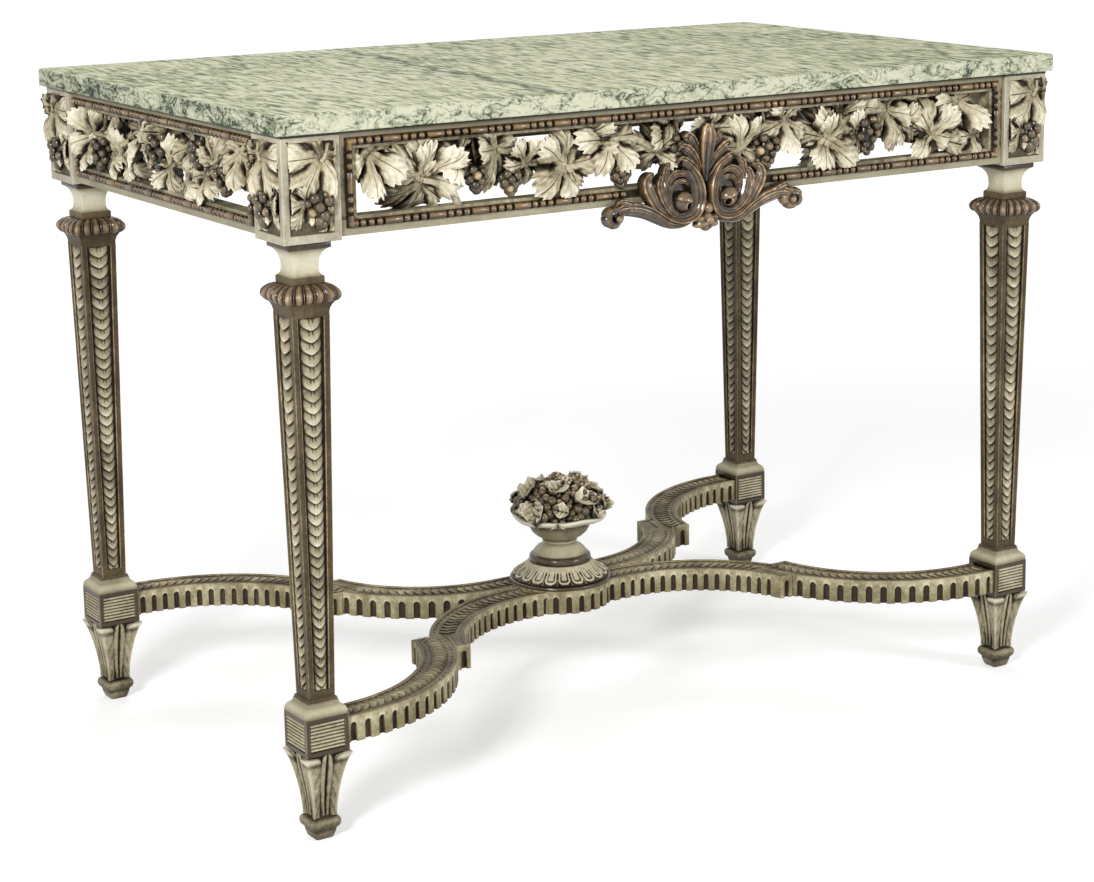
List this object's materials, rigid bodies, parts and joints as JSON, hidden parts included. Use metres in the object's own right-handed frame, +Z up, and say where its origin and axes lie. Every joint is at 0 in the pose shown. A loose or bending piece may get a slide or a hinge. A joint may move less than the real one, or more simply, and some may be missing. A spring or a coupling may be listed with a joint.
{
  "type": "center table",
  "caption": "Carved and painted wooden center table with a loose green marble top, pierced vine friezes, tapered legs and a serpentine X-stretcher with a fruit-bowl finial.",
  "frame": {"origin": "on the floor under the middle of the table", "axes": "+X along the length, front towards -Y, +Z up"},
  "size_m": [1.074, 0.671, 0.8],
  "materials": {
    "green_marble": "polished, pale green with grey-green veins",
    "cream_paint": "aged grey-cream paint with brown glaze in the recesses",
    "vine_paint": "aged cream paint with dark glaze, grapes in dark bronze",
    "bronzed_paint": "worn dark bronze paint with a satin sheen",
    "bare_beech": "bare wood, hidden"
  },
  "bodies": {
    "root": {"back_bead_moulding": "bronzed_paint", "back_cartouche": "bronzed_paint", "back_lower_rail": "cream_paint", "back_upper_rail": "cream_paint", "back_vine_panel": "vine_paint", "corner_block_back_left": "cream_paint", "corner_block_back_right": "cream_paint", "corner_block_front_left": "cream_paint", "corner_block_front_right": "cream_paint", "corner_carving_back_left": "vine_paint", "corner_carving_back_right": "vine_paint", "corner_carving_front_left": "vine_paint", "corner_carving_front_right": "vine_paint", "finial_base": "cream_paint", "finial_bowl": "cream_paint", "finial_dowel": "bare_beech", "finial_fruit": "vine_paint", "foot_back_left": "cream_paint", "foot_back_right": "cream_paint", "foot_dowels": "bare_beech", "foot_front_left": "cream_paint", "foot_front_right": "cream_paint", "front_bead_moulding": "bronzed_paint", "front_cartouche": "bronzed_paint", "front_lower_rail": "cream_paint", "front_upper_rail": "cream_paint", "front_vine_panel": "vine_paint", "left_bead_moulding": "bronzed_paint", "left_lower_rail": "cream_paint", "left_upper_rail": "cream_paint", "left_vine_panel": "vine_paint", "leg_back_left": "cream_paint", "leg_back_right": "cream_paint", "leg_front_left": "cream_paint", "leg_front_right": "cream_paint", "leg_top_dowels": "bare_beech", "marble_top": "green_marble", "plinth_back_left": "cream_paint", "plinth_back_right": "cream_paint", "plinth_front_left": "cream_paint", "plinth_front_right": "cream_paint", "right_bead_moulding": "bronzed_paint", "right_lower_rail": "cream_paint", "right_upper_rail": "cream_paint", "right_vine_panel": "vine_paint", "stretcher_arm_back_left": "cream_paint", "stretcher_arm_back_right": "cream_paint", "stretcher_arm_front_left": "cream_paint", "stretcher_arm_front_right": "cream_paint", "stretcher_dowels": "bare_beech", "stretcher_hub": "cream_paint"}
  },
  "joints": []
}
